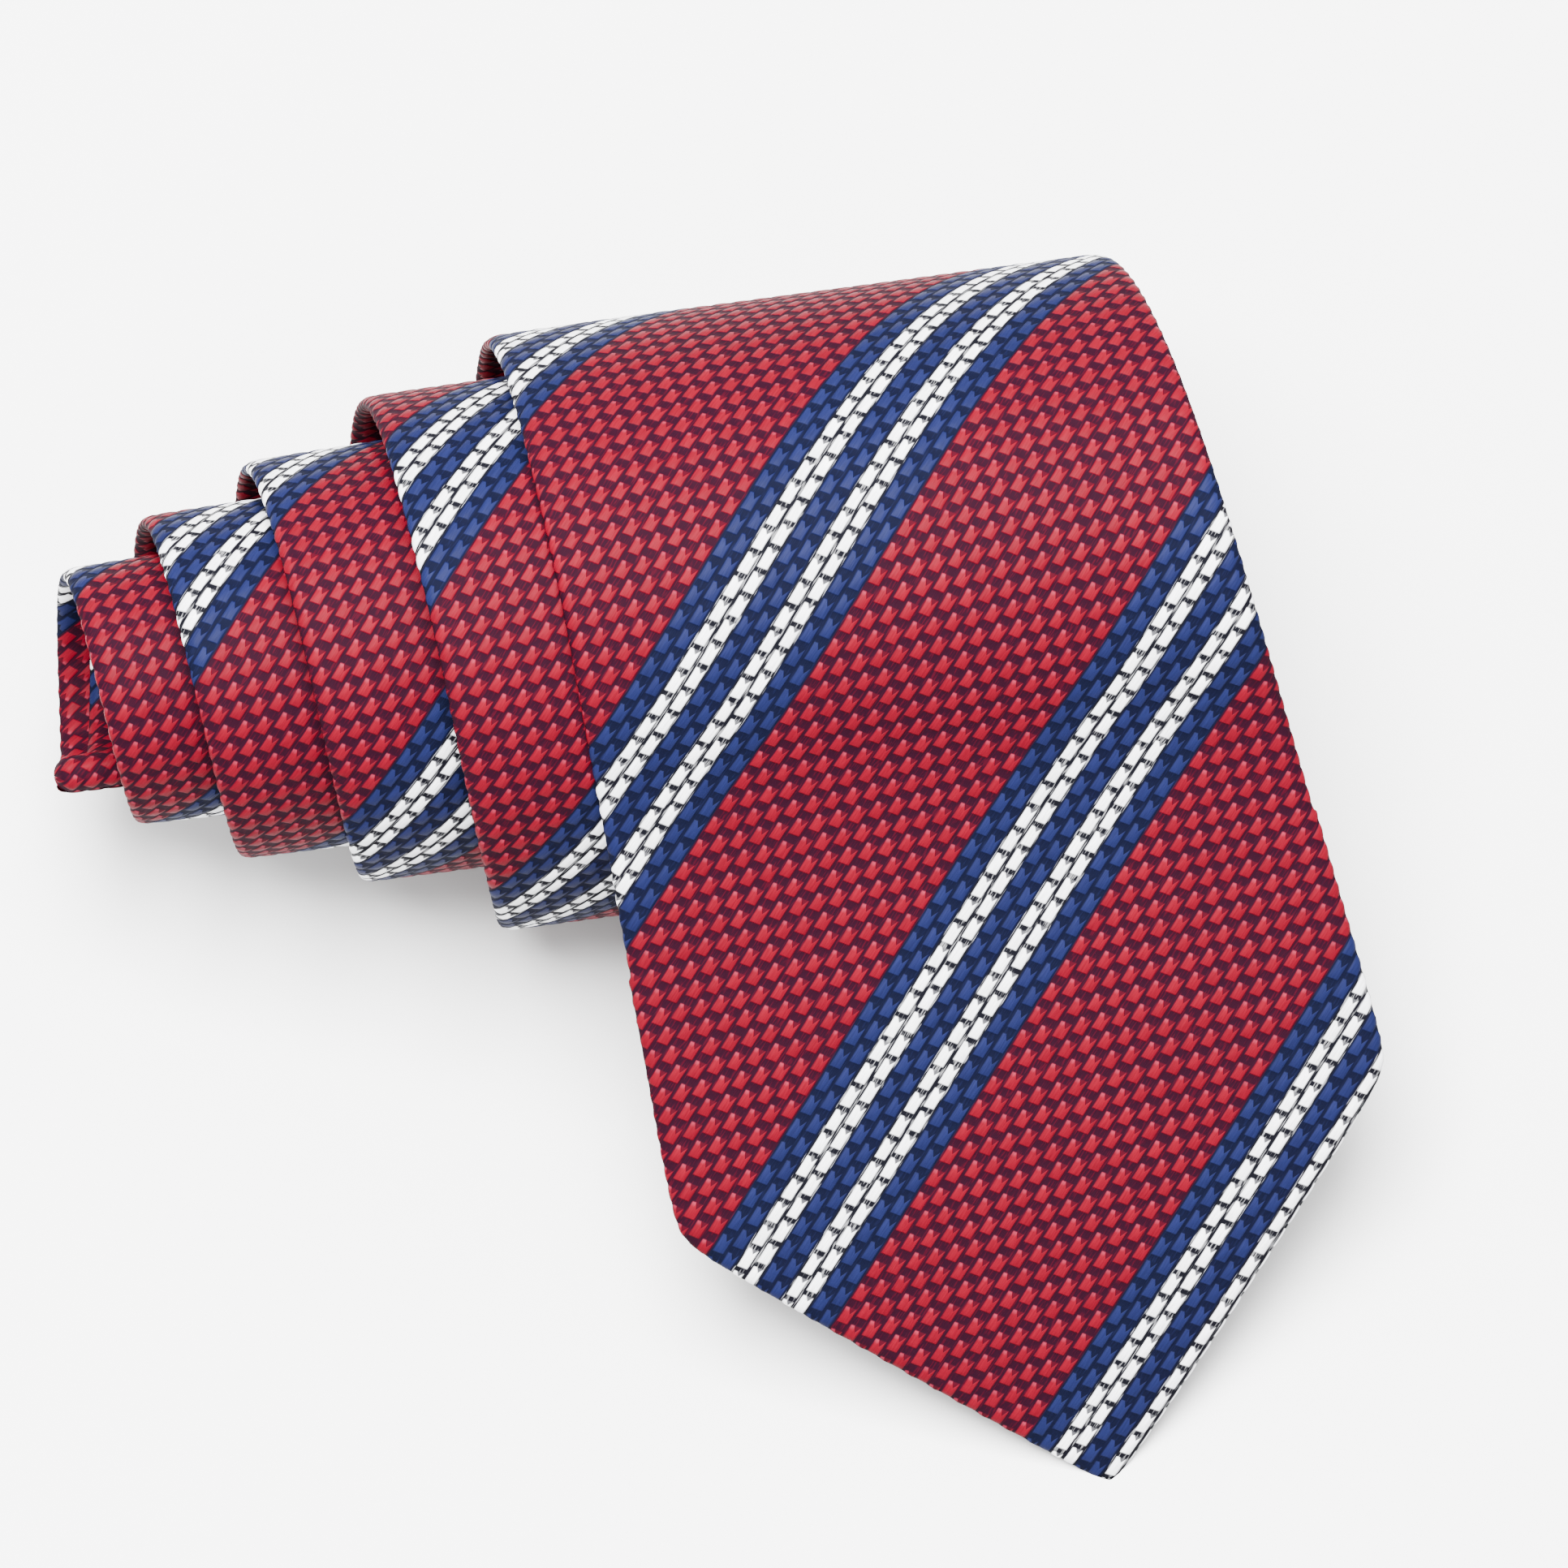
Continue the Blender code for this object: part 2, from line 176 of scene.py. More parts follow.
def roll_section():
    """The section as dense points: S, Y, Z and the turn count, from the blade's point to the fold."""
    turns = np.arange(RAMP_TURN, FOLD_TURN, TURN_STEP)
    y, z = roll_point(turns)
    start = np.array((y[0], z[0]))
    along = np.array((y[1] - y[0], z[1] - z[0]))
    along /= np.linalg.norm(along)
    tip = np.array((TIP_Y, TIP_CLEAR + PLY * math.cos(TIP_SLOPE) - TIP_CUT * math.sin(TIP_SLOPE)))
    lean = np.array((math.cos(TIP_SLOPE), math.sin(TIP_SLOPE)))
    handles = (tip + lean * TIP_HANDLE, start - along * RAMP_HANDLE)
    ramp = bezier((tip, *handles, start), RAMP_COUNT)[:-1]
    y = np.concatenate((ramp[:, 0], y))
    z = np.concatenate((ramp[:, 1], z))
    turns = np.concatenate((np.linspace(-1, RAMP_TURN, len(ramp), endpoint=False), turns))
    s = np.concatenate(((0,), np.cumsum(np.hypot(np.diff(y), np.diff(z)))))
    return s - POINT_DEPTH * math.cos(HELIX), y, z, turns


SECTION_S, SECTION_Y, SECTION_Z, SECTION_TURN = roll_section()


def s_at_turn(turn):
    return float(np.interp(turn, SECTION_TURN, SECTION_S))


def section(s, depth):
    """Y and Z of places on the section, moved inwards by their depth."""
    step = 1.5 * MM
    y = np.interp(s, SECTION_S, SECTION_Y)
    z = np.interp(s, SECTION_S, SECTION_Z)
    dy = np.interp(s + step, SECTION_S, SECTION_Y) - np.interp(s - step, SECTION_S, SECTION_Y)
    dz = np.interp(s + step, SECTION_S, SECTION_Z) - np.interp(s - step, SECTION_S, SECTION_Z)
    length = np.hypot(dy, dz)
    return y + depth * dz / length, z - depth * dy / length


FOLD_S = s_at_turn(FOLD_TURN - 0.01)
FOLD_LENGTH = FOLD_S / math.cos(HELIX)
HAIRPIN = math.pi * TAIL_OUTER / 2
TAIL_LENGTH = TIE_LENGTH - POINT_DEPTH - FOLD_LENGTH


def tail_walk():
    """Length along the tail from the fold, and the S it has come back to."""
    dense = np.arange(FOLD_S, s_at_turn(TAIL_WALK_END), -0.5 * MM)
    y, z = section(dense, TAIL_OUTER)
    walked = np.concatenate(((0,), np.cumsum(np.hypot(np.diff(y), np.diff(z)))))
    return walked, dense


WALKED, WALKED_S = tail_walk()
TAIL_REACH = TAIL_LENGTH * math.cos(HELIX)
TAIL_END_S = float(np.interp(TAIL_REACH, WALKED, WALKED_S))
TAIL_CORNER_S = TAIL_END_S + TAIL_WIDTH / 2


# ---------------------------------------------------------------- outline of the flat strip


def point_half(distance):
    """Half the width of a right-angled point at a distance from its sharp end, rounded."""
    return np.sqrt(np.maximum(distance**2 - POINT_ROUND**2, SHARP_HALF**2))


def rounded_least(a, b):
    return (a + b - np.sqrt((a - b) ** 2 + CORNER_ROUND**2)) / 2


def blade_half(s):
    taper = NECK_WIDTH + (BLADE_WIDTH - NECK_WIDTH) * np.exp(-np.maximum(s, 0) / TAPER_LENGTH)
    point = point_half(np.maximum(s + POINT_DEPTH, POINT_ROUND))
    half = rounded_least(point, taper / 2 + CORNER_SPARE)
    return np.where(s > OUTLINE_REACH, taper / 2, np.maximum(half, LEAST_HALF))


def tail_half(s):
    share = np.clip((FOLD_S - s) / (FOLD_S - TAIL_CORNER_S), 0, 1)
    width = NECK_WIDTH + (TAIL_WIDTH - NECK_WIDTH) * share
    point = point_half(np.maximum(s - TAIL_END_S, POINT_ROUND))
    half = rounded_least(point, width / 2 + CORNER_SPARE)
    return np.where(s > TAIL_CORNER_S + OUTLINE_REACH, width / 2, np.maximum(half, LEAST_HALF))


def flap_gap(s, half, low, high):
    """Half the gap between the two back flaps."""
    share = np.clip((high - s) / (high - low), 0, 1)
    share = np.where(s > low, share, 1)
    return SEAM_GAP + share * np.maximum(half - POINT_HEM - SEAM_GAP, 0)


# ---------------------------------------------------------------- weave


def rows_of(s, q):
    """Place across the rows, counted in rows from the middle of a blue bar, and place along them."""
    across = (s - q) / math.sqrt(2)
    along = (s + q) / math.sqrt(2)
    return (across - STRIPE_PLACE) / ROW, along / FLOAT


def float_fill(bar):
    """Share of a row's length that the floats cover, in red, white and blue rows."""
    white = (bar > WHITE_FROM) & (bar < WHITE_TO)
    return np.where(bar > RED_FROM, RED_FILL, np.where(white, WHITE_FILL, BLUE_FILL))


def relief(s, q):
    """Height of the silk floats over the ground of the cloth."""
    place, along = rows_of(s, q)
    row = np.floor(place)
    across = place - row
    bar = np.abs(np.mod(row + REPEAT_ROWS / 2, REPEAT_ROWS) - REPEAT_ROWS / 2 + 0.5)
    fill = float_fill(bar)
    run = np.mod(along + 0.5 * np.mod(row, 2) + FLOAT_SLANT * (across - 0.5), 1)
    half = np.abs(run - 0.5) * 2 / fill
    rise = np.clip(1 - half**4, 0, 1)
    dome = np.clip(1 - np.abs(2 * across - 1) ** 2.6, 0, 1)
    return RELIEF * rise * dome


# ---------------------------------------------------------------- meshes


def add_object(name, mesh, material):
    obj = bpy.data.objects.new(name, mesh)
    bpy.context.scene.collection.objects.link(obj)
    mesh.materials.append(material)
    return obj


def grid_object(name, points, flat, material, normals=None):
    """A smooth sheet through a grid of points, with its flat place as the UV map."""
    count, across = points.shape[:2]
    index = np.arange(count * across).reshape(count, across)
    corners = (index[:-1, :-1], index[:-1, 1:], index[1:, 1:], index[1:, :-1])
    quads = np.stack(corners, -1).reshape(-1, 4)
    mesh = bpy.data.meshes.new(name)
    mesh.vertices.add(count * across)
    mesh.vertices.foreach_set("co", points.astype(np.float32).ravel())
    mesh.loops.add(quads.size)
    mesh.loops.foreach_set("vertex_index", quads.astype(np.int32).ravel())
    mesh.polygons.add(len(quads))
    mesh.polygons.foreach_set("loop_start", np.arange(0, quads.size, 4, dtype=np.int32))
    mesh.update(calc_edges=True)
    mesh.shade_smooth()
    uv = mesh.uv_layers.new(name="flat")
    places = flat.reshape(-1, 2)[quads.ravel()] * UV_SCALE
    uv.data.foreach_set("uv", places.astype(np.float32).ravel())
    if normals is not None:
        mesh.normals_split_custom_set_from_vertices(normals.reshape(-1, 3).astype(np.float32))
    return add_object(name, mesh, material)


def unit(vectors):
    return vectors / np.maximum(np.linalg.norm(vectors, axis=-1, keepdims=True), 1e-12)


def grid_normals(points):
    down = np.gradient(points, axis=0)
    across = np.gradient(points, axis=1)
    return unit(np.cross(across, down))


def ply_profile(half, gap, fronts, flaps):
    """Across one folded ply, for every row: place across, depth from the front, cloth coordinate.

    The front has an even number of columns, so the cloth's middle lies between two of them.
    """
    half = half[:, None]
    edge = np.minimum(EDGE, 0.8 * half)
    flat = half - edge
    gap = np.minimum(gap[:, None], 0.9 * flat)
    thick = PLY / 2 * np.minimum(1, half / FULL_THICK_HALF) ** 0.5
    full = np.minimum(1, half / FULL_HALF)
    f = np.linspace(-1, 1, fronts)[None]
    front_t = f * flat
    front_d = -CROWN * (1 - f**2) * full
    turn = np.linspace(0, math.pi, 11)[None, 1:-1]
    arc_t = flat + edge * np.sin(turn)
    arc_d = thick - thick * np.cos(turn)
    g = np.linspace(0, 1, flaps)[None]
    flap_t = flat + (gap - flat) * g
    flap_d = 2 * thick + FLAP_RISE * np.sin(math.pi * g) * full
    bend = np.linspace(0, math.pi, 5)[None, 1:]
    curl_t = gap - CURL * np.sin(bend)
    curl_d = 2 * thick - CURL * (1 - np.cos(bend))
    side_t = np.concatenate((arc_t, flap_t, curl_t), axis=1)
    side_d = np.concatenate((arc_d, flap_d, curl_d), axis=1)
    t = np.concatenate((-side_t[:, ::-1], front_t, side_t), axis=1)
    d = np.concatenate((side_d[:, ::-1], front_d, side_d), axis=1)
    steps = np.hypot(np.diff(t, axis=1), np.diff(d, axis=1))
    q = np.concatenate((np.zeros((len(t), 1)), np.cumsum(steps, axis=1)), axis=1)
    middle = t.shape[1] // 2
    centre = (q[:, middle] + q[:, middle - 1]) / 2
    return t, d, q - centre[:, None]


def waver(s, t):
    """Slow unevenness of a hand-sewn tie that has been rolled up."""
    wave = 0.45 * np.sin(s * 61 + 0.7) * np.sin(t * 83 + 1.1) + 0.3 * np.sin(s * 137 + t * 51 + 2.3)
    return WAVER * wave


def place_blade(s, t, depth):
    """3D place of the blade half."""
    ease = 1 - smooth((s - (FOLD_LENGTH - SQUARING)) / SQUARING)
    x = MIDDLE_X - s * math.sin(HELIX) + t * math.cos(HELIX)
    y, z = section(s * math.cos(HELIX) + t * math.sin(HELIX) * ease, depth)
    return np.stack((x, y, z), -1)


def place_tail(s, t, depth):
    """3D place of the tail half, whose front faces the axis of the roll."""
    x = MIDDLE_X + TAIL_SHIFT * (FOLD_S - s) / FOLD_S - s * math.tan(HELIX) + t
    y, z = section(s, TAIL_OUTER + PLY - depth)
    return np.stack((x, y, z), -1)


def lay(name, rows, half, gap, place, flat_s, fronts, flaps, raised, material):
    """One piece of a ply between two rows, with its weave raised or smooth, and flat on the table."""
    t, depth, q = ply_profile(half, gap, fronts, flaps)
    s = np.broadcast_to(rows[:, None], t.shape)
    flat = np.stack((np.broadcast_to(flat_s[:, None], t.shape), q), -1)
    ease = np.minimum(1, half / FULL_HALF)[:, None]
    points = place(s, t, depth + waver(s, t) * ease)
    if raised:
        height = relief(flat[..., 0], flat[..., 1])
        points = points + grid_normals(points) * height[..., None]
    normals = grid_normals(points)
    points[..., 2] = np.maximum(points[..., 2], FLOOR_CLEAR)
    return grid_object(name, points[1:-1], flat[1:-1], material, normals[1:-1])


def spaced(start, stop, step):
    """Rows from start to stop, with one more beyond each end."""
    count = max(int(round(abs(stop - start) / step)), 2)
    gap = (stop - start) / count
    return np.linspace(start - gap, stop + gap, count + 3)


# ---------------------------------------------------------------- node materials


class Shader:
    """Builds a node material around one Principled BSDF."""

    def __init__(self, name, roughness, sheen=0.0, specular=0.5):
        self.material = bpy.data.materials.new(name)
        self.material.use_nodes = True
        self.tree = self.material.node_tree
        self.principled = self.tree.nodes["Principled BSDF"]
        self.principled.inputs["Roughness"].default_value = roughness
        self.principled.inputs["Sheen Weight"].default_value = sheen
        self.principled.inputs["Sheen Roughness"].default_value = 0.35
        self.principled.inputs["Specular IOR Level"].default_value = specular

    def node(self, kind, **settings):
        made = self.tree.nodes.new(kind)
        for key, value in settings.items():
            setattr(made, key, value)
        return made

    def link(self, source, target):
        self.tree.links.new(source, target)

    def put(self, value, socket):
        if isinstance(value, (int, float)):
            socket.default_value = value
        else:
            self.link(value, socket)

    def math(self, operation, *values):
        made = self.node("ShaderNodeMath", operation=operation)
        for value, socket in zip(values, made.inputs):
            self.put(value, socket)
        return made.outputs[0]

    def ramp(self, value, low, high, out_low=0.0, out_high=1.0):
        made = self.node("ShaderNodeMapRange", interpolation_type="SMOOTHSTEP")
        for item, socket in zip((value, low, high, out_low, out_high), made.inputs):
            self.put(item, socket)
        return made.outputs[0]

    def mix(self, share, a, b, blend="MIX"):
        made = self.node("ShaderNodeMix", data_type="RGBA", blend_type=blend)
        self.put(share, made.inputs[0])
        for item, socket in ((a, made.inputs[6]), (b, made.inputs[7])):
            if isinstance(item, tuple):
                socket.default_value = (*item, 1)
            else:
                self.link(item, socket)
        return made.outputs[2]

    def flat(self):
        """The flat place on the cloth, s and q, in metres."""
        uv = self.node("ShaderNodeUVMap", uv_map="flat")
        split = self.node("ShaderNodeSeparateXYZ")
        self.link(uv.outputs[0], split.inputs[0])
        return [self.math("DIVIDE", split.outputs[i], UV_SCALE) for i in (0, 1)]

    def colour(self, value):
        self.link(value, self.principled.inputs["Base Color"])

    def roughness(self, value):
        self.link(value, self.principled.inputs["Roughness"])

    def bump(self, height, distance, strength=1.0):
        made = self.node("ShaderNodeBump")
        made.inputs["Strength"].default_value = strength
        made.inputs["Distance"].default_value = distance
        self.link(height, made.inputs["Height"])
        self.link(made.outputs[0], self.principled.inputs["Normal"])


RED = (0.076, 0.0009, 0.0054)
# RED_PRONG_HIGHLIGHT is a painted highlight: a lighter pink laid on the prongs of the red floats
RED_PRONG_HIGHLIGHT = (0.110, 0.008, 0.018)
RED_GROUND = (0.0078, 0.0007, 0.0036)
BLUE = (0.0046, 0.0062, 0.028)
BLUE_GROUND = (0.0012, 0.0016, 0.0068)
WHITE = (0.60, 0.60, 0.62)
WHITE_GROUND = (0.002, 0.002, 0.0035)
WHITE_NOTCH = (0.05, 0.05, 0.055)
RED_NOTCH = (0.03, 0.001, 0.004)
SILK_SPECULAR = 0.025
SILK_BUMP = 0.12 * MM
THREAD_BUMP = 0.05 * MM
THREAD_TWIST = 0.5 * MM
GROUND_ROUGHNESS = 0.72
FLOAT_ROUGHNESS = -0.22  # what a float adds to the ground's
STREAKS = (500, 5200)  # fineness of the silk's streaks, along and across, to a metre

# Spread and least of the brightness: float to float, streaks, slow clouds of painted sheen, and a
# painted highlight growing from the start to the end of a float
FLOAT_SPREAD = (0.16, 0.90)
STREAK_SPREAD = (0.5, 0.76)
SHEEN_CLOUD_SPREAD = (0.16, 0.92)
END_HIGHLIGHT_SPREAD = (0.14, 0.90)


def silk_material():
    """Bias-striped jacquard: slanted floats with a notched end, in rows, over a dark ground."""
    m = Shader("woven_silk", 0.5, specular=SILK_SPECULAR)
    s, q = m.flat()
    across = m.math("DIVIDE", m.math("SUBTRACT", s, q), math.sqrt(2))
    along = m.math("DIVIDE", m.math("ADD", s, q), math.sqrt(2))
    place = m.math("DIVIDE", m.math("SUBTRACT", across, STRIPE_PLACE), ROW)
    row = m.math("FLOOR", place)
    b = m.math("SUBTRACT", place, row)
    repeat = m.math("WRAP", m.math("ADD", row, 0.5), REPEAT_ROWS / 2, -REPEAT_ROWS / 2)
    bar = m.math("ABSOLUTE", repeat)
    red = m.math("GREATER_THAN", bar, RED_FROM)
    within = m.math("LESS_THAN", bar, WHITE_TO)
    white = m.math("MULTIPLY", m.math("GREATER_THAN", bar, WHITE_FROM), within)

    parity = m.math("FLOORED_MODULO", row, 2)
    stagger = m.math("MULTIPLY_ADD", parity, 0.5, -FLOAT_SLANT / 2)
    slanted = m.math("MULTIPLY_ADD", b, FLOAT_SLANT, stagger)
    a_full = m.math("ADD", m.math("DIVIDE", along, FLOAT), slanted)
    a_index = m.math("FLOOR", a_full)
    a = m.math("SUBTRACT", a_full, a_index)

    white_fill = m.math("MULTIPLY_ADD", white, DYE_FILL_WHITE, DYE_FILL)
    fill = m.math("MULTIPLY_ADD", red, DYE_FILL_RED, white_fill)
    half = m.math("MULTIPLY", fill, 0.5)
    low = m.math("SUBTRACT", 0.5, half)
    far = m.math("ADD", 0.5, half)
    off_notch = m.math("ABSOLUTE", m.math("SUBTRACT", b, NOTCH_PLACE))
    from_notch = m.math("DIVIDE", off_notch, NOTCH_HALF)
    in_reach = m.math("MAXIMUM", m.math("SUBTRACT", 1, from_notch), 0)
    notch = m.math("MULTIPLY", in_reach, NOTCH_DEPTH)
    notch = m.math("MULTIPLY", notch, m.math("MULTIPLY_ADD", white, -0.25, 1))
    high = m.math("SUBTRACT", far, notch)
    start = m.ramp(m.math("SUBTRACT", a, low), *FLOAT_ENDS)
    end = m.ramp(m.math("SUBTRACT", high, a), *FLOAT_ENDS)
    whole_end = m.ramp(m.math("SUBTRACT", far, a), *FLOAT_ENDS)
    margin = m.math("MULTIPLY_ADD", white, ROW_MARGIN_WHITE, ROW_MARGIN)
    off_middle = m.math("ABSOLUTE", m.math("SUBTRACT", b, 0.5))
    rim = m.math("SUBTRACT", m.math("SUBTRACT", 0.5, off_middle), margin)
    side = m.ramp(rim, -0.05, 0.05)
    mask = m.math("MULTIPLY", m.math("MULTIPLY", start, end), side)
    whole = m.math("MULTIPLY", m.math("MULTIPLY", start, whole_end), side)
    in_notch = m.math("MULTIPLY", m.math("SUBTRACT", whole, mask), NOTCH_SHARE)

    ident = m.node("ShaderNodeCombineXYZ")
    m.link(a_index, ident.inputs[0])
    m.link(row, ident.inputs[1])
    random = m.node("ShaderNodeTexWhiteNoise", noise_dimensions="2D")
    m.link(ident.outputs[0], random.inputs["Vector"])
    streak_place = m.node("ShaderNodeCombineXYZ")
    m.link(m.math("MULTIPLY", along, STREAKS[0]), streak_place.inputs[0])
    m.link(m.math("MULTIPLY", across, STREAKS[1]), streak_place.inputs[1])
    streak = m.node("ShaderNodeTexNoise", noise_dimensions="2D")
    streak.inputs["Scale"].default_value = 1.0
    streak.inputs["Detail"].default_value = 1.0
    m.link(streak_place.outputs[0], streak.inputs["Vector"])
    # Painted sheen: slow clouds of brightness laid over the whole cloth
    sheen_cloud = m.node("ShaderNodeTexNoise", noise_dimensions="2D")
    sheen_cloud.inputs["Scale"].default_value = 4.0
    sheen_cloud.inputs["Detail"].default_value = 2.0
    m.link(m.tree.nodes["UV Map"].outputs[0], sheen_cloud.inputs["Vector"])

    thread = m.mix(red, m.mix(white, BLUE, WHITE), RED)
    ground = m.mix(red, m.mix(white, BLUE_GROUND, WHITE_GROUND), RED_GROUND)
    notch_dye = m.mix(red, m.mix(white, BLUE_GROUND, WHITE_NOTCH), RED_NOTCH)
    value = m.math("MULTIPLY_ADD", random.outputs[0], *FLOAT_SPREAD)
    value = m.math("MULTIPLY", value, m.math("MULTIPLY_ADD", streak.outputs[0], *STREAK_SPREAD))
    value = m.math("MULTIPLY", value, m.math("MULTIPLY_ADD", sheen_cloud.outputs[0], *SHEEN_CLOUD_SPREAD))
    # Painted highlight: each float a little brighter towards its notched end
    value = m.math("MULTIPLY", value, m.math("MULTIPLY_ADD", m.ramp(a, 0.1, 0.8), *END_HIGHLIGHT_SPREAD))
    # Painted shade: each float darker towards its long sides, where it rounds down into the ground
    value = m.math("MULTIPLY", value, m.ramp(off_middle, 0.5, 0.2, 0.82, 1.0))
    shade = m.node("ShaderNodeCombineXYZ")
    for socket in shade.inputs:
        m.link(value, socket)
    # Painted highlight: the red floats lighter at their prongs, on the far half of the row towards
    # the float's end
    red_side = m.math("MULTIPLY", red, m.ramp(b, 0.5, 0.68))
    prong_highlight = m.math("MULTIPLY", m.ramp(a, 0.62, 0.8), red_side)
    # The floats' dye with random tone, painted sheen, painted highlights and painted shade multiplied
    # in
    float_colour_and_light = m.mix(1.0, m.mix(prong_highlight, thread, RED_PRONG_HIGHLIGHT), shade.outputs[0], blend="MULTIPLY")
    speck = m.math("MULTIPLY", m.ramp(streak.outputs[0], 0.52, 0.75), 0.35)
    base = m.mix(speck, ground, m.mix(0.55, ground, thread))
    base = m.mix(in_notch, base, notch_dye)
    m.colour(m.mix(mask, base, float_colour_and_light))

    m.roughness(m.math("MULTIPLY_ADD", mask, FLOAT_ROUGHNESS, GROUND_ROUGHNESS))
    from_crest = m.math("ABSOLUTE", m.math("MULTIPLY_ADD", b, 2, -1))
    dome = m.math("SUBTRACT", 1, m.math("POWER", from_crest, 2.5))
    height = m.math("MULTIPLY", mask, m.math("MULTIPLY_ADD", dome, 0.6, 0.4))
    height = m.math("ADD", height, m.math("MULTIPLY", streak.outputs[0], 0.35))
    m.bump(height, SILK_BUMP, 0.7)
    return m.material


def satin_material(name, dark, light, pitch, sheen):
    """Plain satin-weave lining or label: fine ribs on the slant, and a slow unevenness."""
    m = Shader(name, 0.42, sheen=sheen)
    s, q = m.flat()
    slant = m.math("ADD", s, m.math("MULTIPLY", q, 0.35))
    rib = m.math("SINE", m.math("MULTIPLY", slant, 2 * math.pi / pitch))
    cross = m.math("SINE", m.math("MULTIPLY", q, 2 * math.pi / (pitch * 1.7)))
    weave = m.math("MULTIPLY_ADD", m.math("ADD", rib, m.math("MULTIPLY", cross, 0.6)), 0.3, 0.5)
    cloud = m.node("ShaderNodeTexNoise")
    cloud.inputs["Scale"].default_value = 6.0
    m.link(m.tree.nodes["UV Map"].outputs[0], cloud.inputs["Vector"])
    m.colour(m.mix(m.math("MULTIPLY", weave, m.math("ADD", cloud.outputs[0], 0.4)), dark, light))
    m.roughness(m.math("MULTIPLY_ADD", weave, -0.12, 0.5))
    m.bump(weave, THREAD_BUMP, 0.6)
    return m.material


def thread_material(name, dark, light):
    """Two-ply sewing thread."""
    m = Shader(name, 0.55, sheen=0.1, specular=0.4)
    s, q = m.flat()
    twist = m.math("MULTIPLY", m.math("ADD", s, q), 2 * math.pi / THREAD_TWIST)
    twist = m.math("SINE", twist)
    weave = m.math("MULTIPLY_ADD", twist, 0.4, 0.5)
    m.colour(m.mix(weave, dark, light))
    m.bump(weave, THREAD_BUMP, 0.6)
    return m.material


FLOOR_DARK = (0.64, 0.64, 0.64)
FLOOR_LIGHT = (0.66, 0.66, 0.66)


def floor_material():
    m = Shader("studio_floor", 0.65, specular=0.15)
    place = m.node("ShaderNodeTexCoord")
    noise = m.node("ShaderNodeTexNoise")
    noise.inputs["Scale"].default_value = 60.0
    m.link(place.outputs["Object"], noise.inputs["Vector"])
    m.colour(m.mix(noise.outputs[0], FLOOR_DARK, FLOOR_LIGHT))
    return m.material


# Dark and light dye, pitch of the ribs and sheen of each
SILK = silk_material()
LINING = satin_material(
    "navy_lining", (0.0028, 0.0042, 0.015), (0.009, 0.013, 0.04), 0.36 * MM, 0.1
)
LABEL = satin_material(
    "plain_label", (0.003, 0.0045, 0.015), (0.012, 0.016, 0.042), 0.5 * MM, 0.05
)
CARE = satin_material("care_ribbon", (0.32, 0.32, 0.31), (0.5, 0.49, 0.47), 0.4 * MM, 0.05)
THREAD = thread_material("red_thread", (0.02, 0.0015, 0.003), (0.08, 0.005, 0.009))


# ---------------------------------------------------------------- how pieces move

TURN_BODIES = ("roll", "turn_2", "turn_3", "turn_4", "core")
RAMP_BEND_S = s_at_turn(RAMP_TURN + 0.004)
POINT_BEND = (10 * MM, 10 * MM)  # length of each bend before and after its hinge
RAMP_BEND = (15 * MM, 0.5 * MM)
CROSSING_SHORT = 8 * MM  # how far a crossing's ends stay inside the turn


def along_section(s, ahead, behind):
    """Start and end of a bend: the section's places before and after S."""
    before = section(s - ahead, 0)
    after = section(s + behind, 0)
    return (0, float(before[0]), float(before[1])), (0, float(after[0]), float(after[1]))


def base_bend(turn):
    """Start and end of the crossing from one turn to the next, under the roll from back to front."""
    reach = float(radius_at(turn)) - CROSSING_SHORT
    return (0, reach, AXIS_HEIGHT), (0, -reach, AXIS_HEIGHT)


def move(obj, motion):
    """Rides on one body; a piece across a joint only has its transform baked into the mesh."""
    if len(motion) == 1:
        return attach(obj, motion[0])
    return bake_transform(obj)


POINT_MOTION = ("tip", "ramp", *along_section(BEND_S, *POINT_BEND))
RAMP_MOTION = ("ramp", "roll", *along_section(RAMP_BEND_S, *RAMP_BEND))


def base_motion(turn):
    """How the cloth between turn - 0.5 and turn moves."""
    return (TURN_BODIES[turn - 1], TURN_BODIES[turn], *base_bend(turn))


def length_at(turn):
    return s_at_turn(turn) / math.cos(HELIX)


POINT_STOP = 27 * MM

# Piece, where it starts and stops along the tie, row step in mm, columns on the front and on a flap,
# motion
BLADE_PIECES = [
    ("point", -POINT_DEPTH + POINT_START, POINT_STOP, 0.42, 190, 34, POINT_MOTION),
    ("ramp", POINT_STOP, length_at(0.25), 0.42, 190, 46, RAMP_MOTION),
    ("crown", length_at(0.25), length_at(0.5), 0.42, 190, 60, ("roll",)),
    ("base_1", length_at(0.5), length_at(1), 0.7, 150, 60, base_motion(1)),
    ("top_2", length_at(1), length_at(1.5), 0.45, 140, 50, ("turn_2",)),
    ("base_2", length_at(1.5), length_at(2), 0.6, 120, 40, base_motion(2)),
    ("top_3", length_at(2), length_at(2.5), 0.42, 120, 40, ("turn_3",)),
    ("base_3", length_at(2.5), length_at(3), 0.6, 100, 36, base_motion(3)),
    ("top_4", length_at(3), length_at(3.5), 0.42, 100, 36, ("turn_4",)),
    ("base_4", length_at(3.5), length_at(4), 0.6, 90, 32, base_motion(4)),
    ("core", length_at(4), FOLD_LENGTH, 0.42, 90, 32, ("core",)),
]
